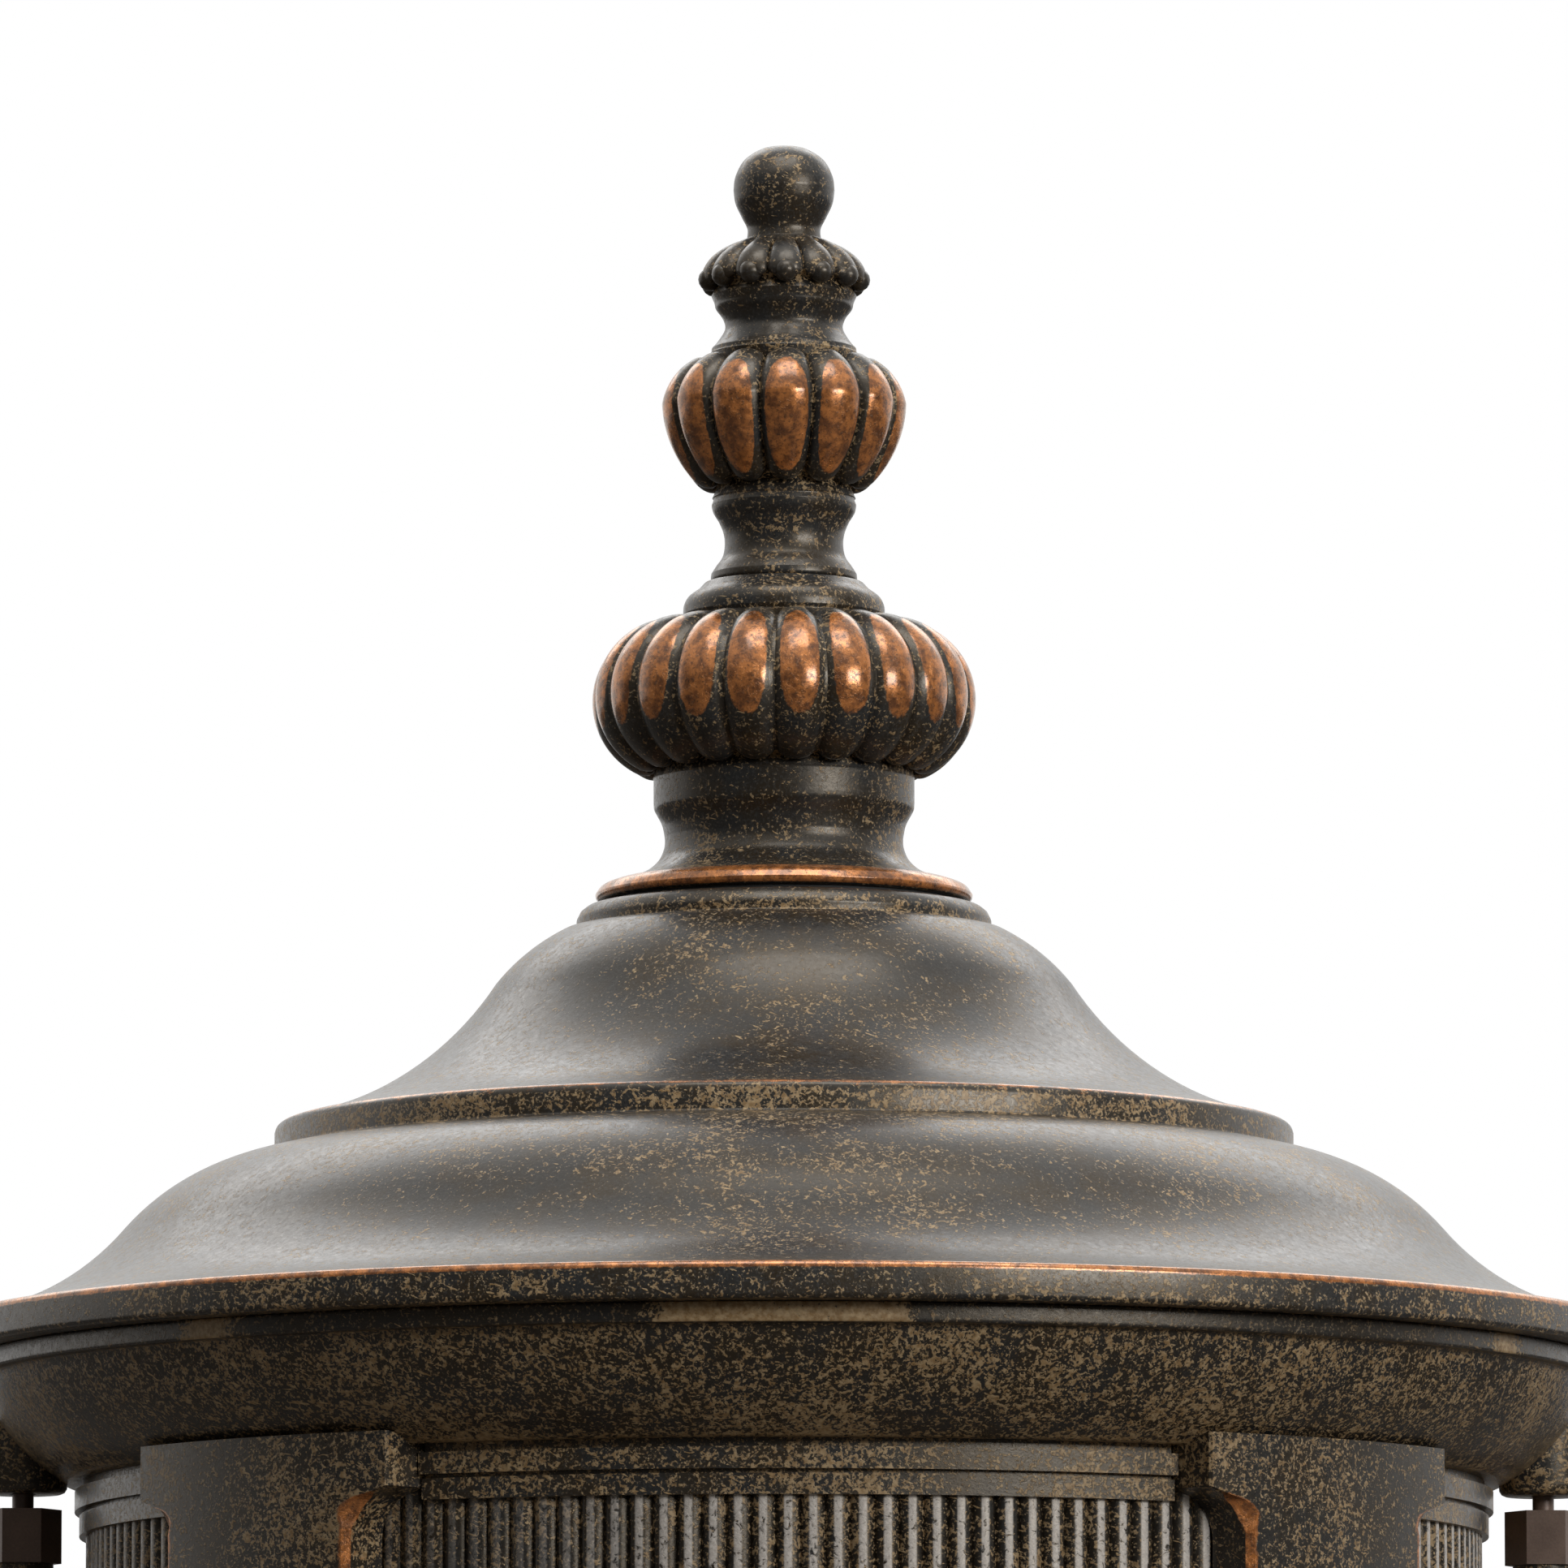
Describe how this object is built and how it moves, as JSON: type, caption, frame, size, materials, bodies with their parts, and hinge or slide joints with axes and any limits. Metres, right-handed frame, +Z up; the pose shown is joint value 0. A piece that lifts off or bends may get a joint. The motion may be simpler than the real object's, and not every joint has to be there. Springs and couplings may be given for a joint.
{
  "type": "outdoor wall light",
  "caption": "Round outdoor wall lantern with a double bell roof, gadrooned stacked finials, a reeded glass cage, bowed side arms and a scrolled wall bracket.",
  "frame": {"origin": "middle of the mounting bar's rear face, on the wall", "axes": "+Z up, +Y into the wall, so the lantern stands out along -Y; +X to the right seen from in front"},
  "size_m": [0.2712, 0.3012, 0.5296],
  "materials": {
    "aged_bronze_paint": "hand-painted aged bronze, charcoal ground with gold and copper sponging, satin coat",
    "zinc_plated_steel": "zinc plated, satin",
    "white_enamel": "white enamel, satin",
    "white_porcelain": "glazed porcelain",
    "brass_contact": "bright",
    "lamp_cap_metal": "satin",
    "lamp_glass": "clear",
    "stem_glass": "clear",
    "clear_glass": "clear",
    "black_rubber": "matte",
    "grey_foam": "matte closed-cell foam",
    "lead_sleeve": "woven sleeve, matte",
    "connector_plastic": "matte",
    "green_screw": "green lacquered steel"
  },
  "bodies": {
    "lantern": {"arm_hub": "aged_bronze_paint", "arm_nut": "zinc_plated_steel", "arm_scroll": "aged_bronze_paint", "base_bowl": "aged_bronze_paint", "base_plate": "white_enamel", "base_plate_screws": "zinc_plated_steel", "base_screws": "zinc_plated_steel", "cap_nut_left": "aged_bronze_paint", "cap_nut_right": "aged_bronze_paint", "centre_contact": "brass_contact", "crossbar": "zinc_plated_steel", "crossbar_screws": "zinc_plated_steel", "crown_ring": "aged_bronze_paint", "crown_screws": "zinc_plated_steel", "drop_finial": "aged_bronze_paint", "finial_rod": "zinc_plated_steel", "frieze_drum": "aged_bronze_paint", "glass_cylinder": "clear_glass", "ground_screw": "green_screw", "hex_coupling_left": "aged_bronze_paint", "hex_coupling_right": "aged_bronze_paint", "lampholder": "white_porcelain", "lower_frieze": "aged_bronze_paint", "lower_glass_gasket": "black_rubber", "lug_studs": "zinc_plated_steel", "mounting_bar": "zinc_plated_steel", "mounting_nuts": "zinc_plated_steel", "mounting_studs": "zinc_plated_steel", "nipple": "zinc_plated_steel", "nipple_nuts": "zinc_plated_steel", "pilaster_1": "aged_bronze_paint", "pilaster_2": "aged_bronze_paint", "pilaster_3": "aged_bronze_paint", "pilaster_4": "aged_bronze_paint", "pilaster_screws": "zinc_plated_steel", "rod_nuts": "zinc_plated_steel", "screw_shell": "brass_contact", "side_arm_left": "aged_bronze_paint", "side_arm_right": "aged_bronze_paint", "socket_leads": "lead_sleeve", "upper_glass_gasket": "black_rubber", "wall_arm": "aged_bronze_paint", "wall_gasket": "grey_foam", "wall_plate": "aged_bronze_paint", "wire_connectors": "connector_plastic"},
    "roof_lid": {"roof": "aged_bronze_paint", "lower_finial": "aged_bronze_paint", "roof_washer": "black_rubber"},
    "top_finial": {"upper_finial": "aged_bronze_paint"},
    "lamp": {"lamp_cap": "lamp_cap_metal", "bulb_glass": "lamp_glass", "filament_stem": "stem_glass"}
  },
  "joints": [
    {"name": "roof_lift", "type": "slide", "parent": "lantern", "child": "roof_lid", "axis": [0, 0, 1], "range_m": [0, 0.15]},
    {"name": "finial_turn", "type": "hinge", "parent": "roof_lid", "child": "top_finial", "pos_m": [0, -0.175, 0.33], "axis": [0, 0, 1], "continuous": true},
    {"name": "lamp_turn", "type": "hinge", "parent": "lantern", "child": "lamp", "pos_m": [0, -0.175, 0.06], "axis": [0, 0, 1], "continuous": true}
  ]
}
